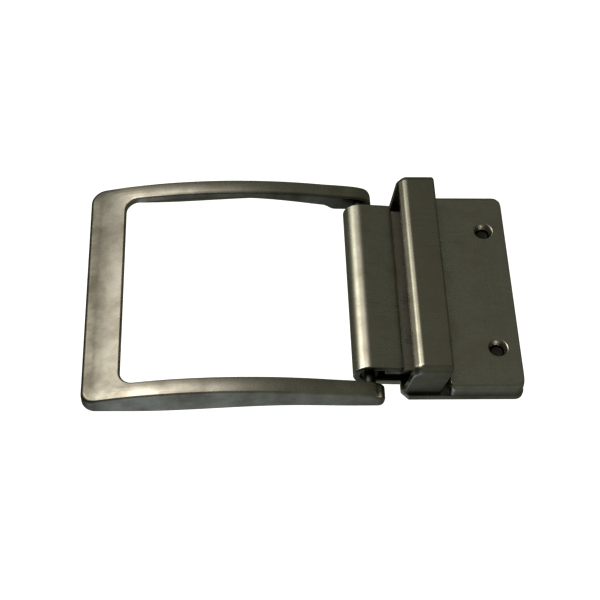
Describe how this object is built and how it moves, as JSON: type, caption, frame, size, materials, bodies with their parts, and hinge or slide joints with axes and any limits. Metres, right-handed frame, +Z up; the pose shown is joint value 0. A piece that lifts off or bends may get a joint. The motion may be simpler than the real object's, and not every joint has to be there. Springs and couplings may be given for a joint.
{
  "type": "belt buckle",
  "caption": "Clamp-on dress belt buckle: an arched open frame hinged on a pin to a rolled-sheet clamp with a keeper loop, a lifting toothed jaw and countersunk clamp screws.",
  "frame": {"origin": "centre of the bounding box at the surface that the buckle lies on; the hinge pin's axis is 10.45 mm along +X and 2.95 mm up", "axes": "+X along the strap, from the frame's end bar to the clamp's mouth; +Y across the strap; +Z up, out of the face that is seen when worn"},
  "size_m": [0.0712, 0.042, 0.01],
  "materials": {
    "cast_frame": "satin antique nickel plate over a zinc casting",
    "pressed_sheet": "satin dark nickel plated sheet",
    "keeper_sheet": "satin dark nickel plated sheet",
    "pin_steel": "plated steel pin",
    "screw_steel": "blackened steel"
  },
  "bodies": {
    "clamp": {"clamp_base": "pressed_sheet", "keeper_loop": "keeper_sheet"},
    "frame": {"frame": "cast_frame", "hinge_pin": "pin_steel"},
    "lid": {"clamp_lid": "pressed_sheet"},
    "screw_far": {"clamp_screw_far": "screw_steel"},
    "screw_near": {"clamp_screw_near": "screw_steel"}
  },
  "joints": [
    {"name": "frame_hinge", "type": "hinge", "parent": "clamp", "child": "frame", "pos_m": [0.01045, 0, 0.00295], "axis": [0, 1, 0], "range_deg": [-120, 105]},
    {"name": "lid_open", "type": "hinge", "parent": "clamp", "child": "lid", "pos_m": [0.0157, 0, 0.004], "axis": [0, -1, 0], "range_deg": [0, 7]},
    {"name": "screw_far_turn", "type": "hinge", "parent": "clamp", "child": "screw_far", "pos_m": [0.03165, 0.0117, 0], "axis": [0, 0, 1], "continuous": true},
    {"name": "screw_near_turn", "type": "hinge", "parent": "clamp", "child": "screw_near", "pos_m": [0.03165, -0.0117, 0], "axis": [0, 0, 1], "continuous": true}
  ]
}
